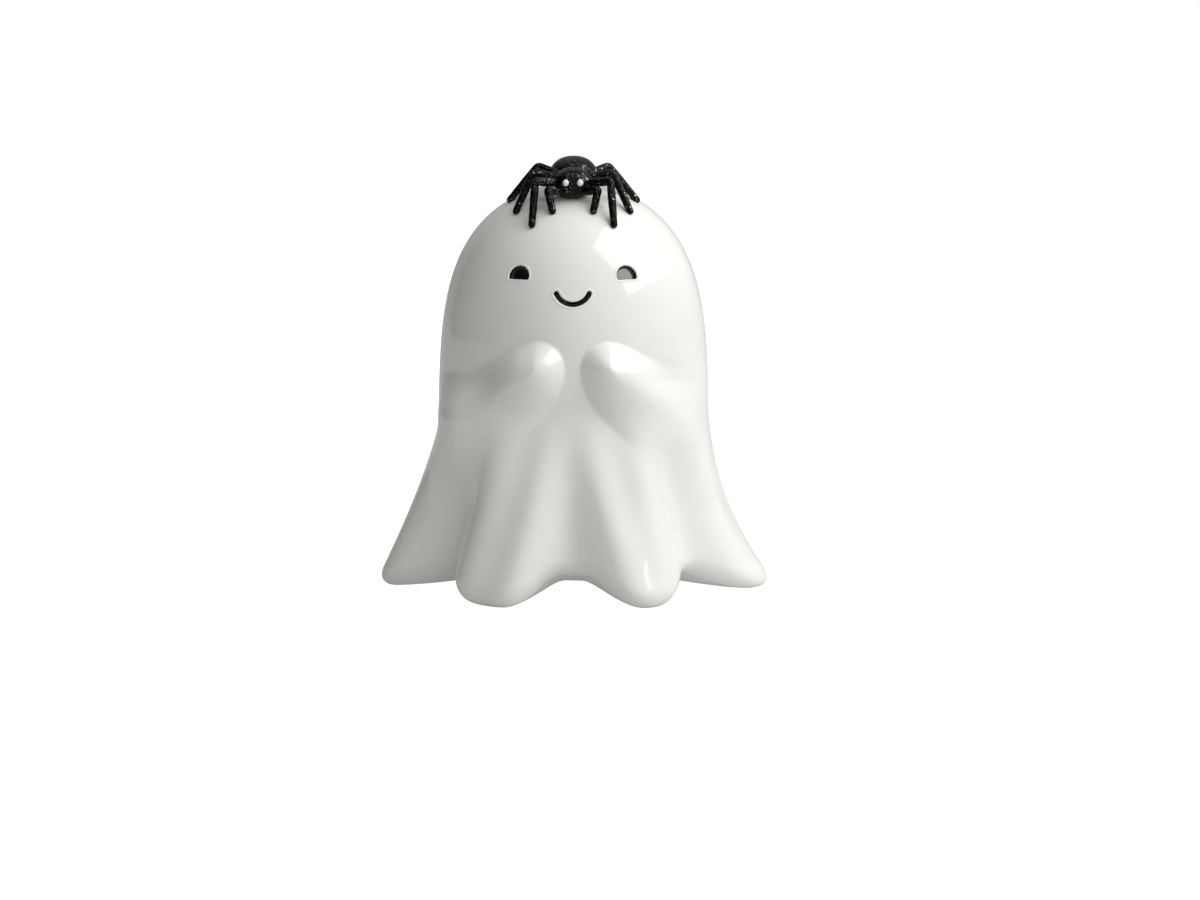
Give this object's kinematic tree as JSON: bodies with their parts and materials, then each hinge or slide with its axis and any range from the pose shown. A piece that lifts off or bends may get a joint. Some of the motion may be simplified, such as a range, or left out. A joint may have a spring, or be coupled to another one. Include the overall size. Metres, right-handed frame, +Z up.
{
  "type": "ceramic ghost figure",
  "caption": "Smiling draped ghost figure in glossy white glaze, hands held together, with a small black spider standing on its crown.",
  "frame": {"origin": "middle of the footprint, on the floor", "axes": "+Z up, the face looks along -Y, +X to the viewer's right"},
  "size_m": [0.173, 0.1482, 0.1912],
  "materials": {
    "white_glaze": "gloss white glaze over a cast body, unglazed at the foot flats",
    "black_glaze": "gloss black glaze",
    "spider_black": "satin black cast resin with a fine grain",
    "bead_white": "white beads"
  },
  "bodies": {
    "root": {"ghost_body": "white_glaze", "left_eye_glaze": "black_glaze", "right_eye_glaze": "black_glaze", "smile_glaze": "black_glaze", "spider_abdomen": "spider_black", "spider_head": "spider_black", "spider_eye_left": "bead_white", "spider_eye_right": "bead_white", "spider_leg_left_1": "spider_black", "spider_leg_left_2": "spider_black", "spider_leg_left_3": "spider_black", "spider_leg_left_4": "spider_black", "spider_leg_right_1": "spider_black", "spider_leg_right_2": "spider_black", "spider_leg_right_3": "spider_black", "spider_leg_right_4": "spider_black"}
  },
  "joints": []
}
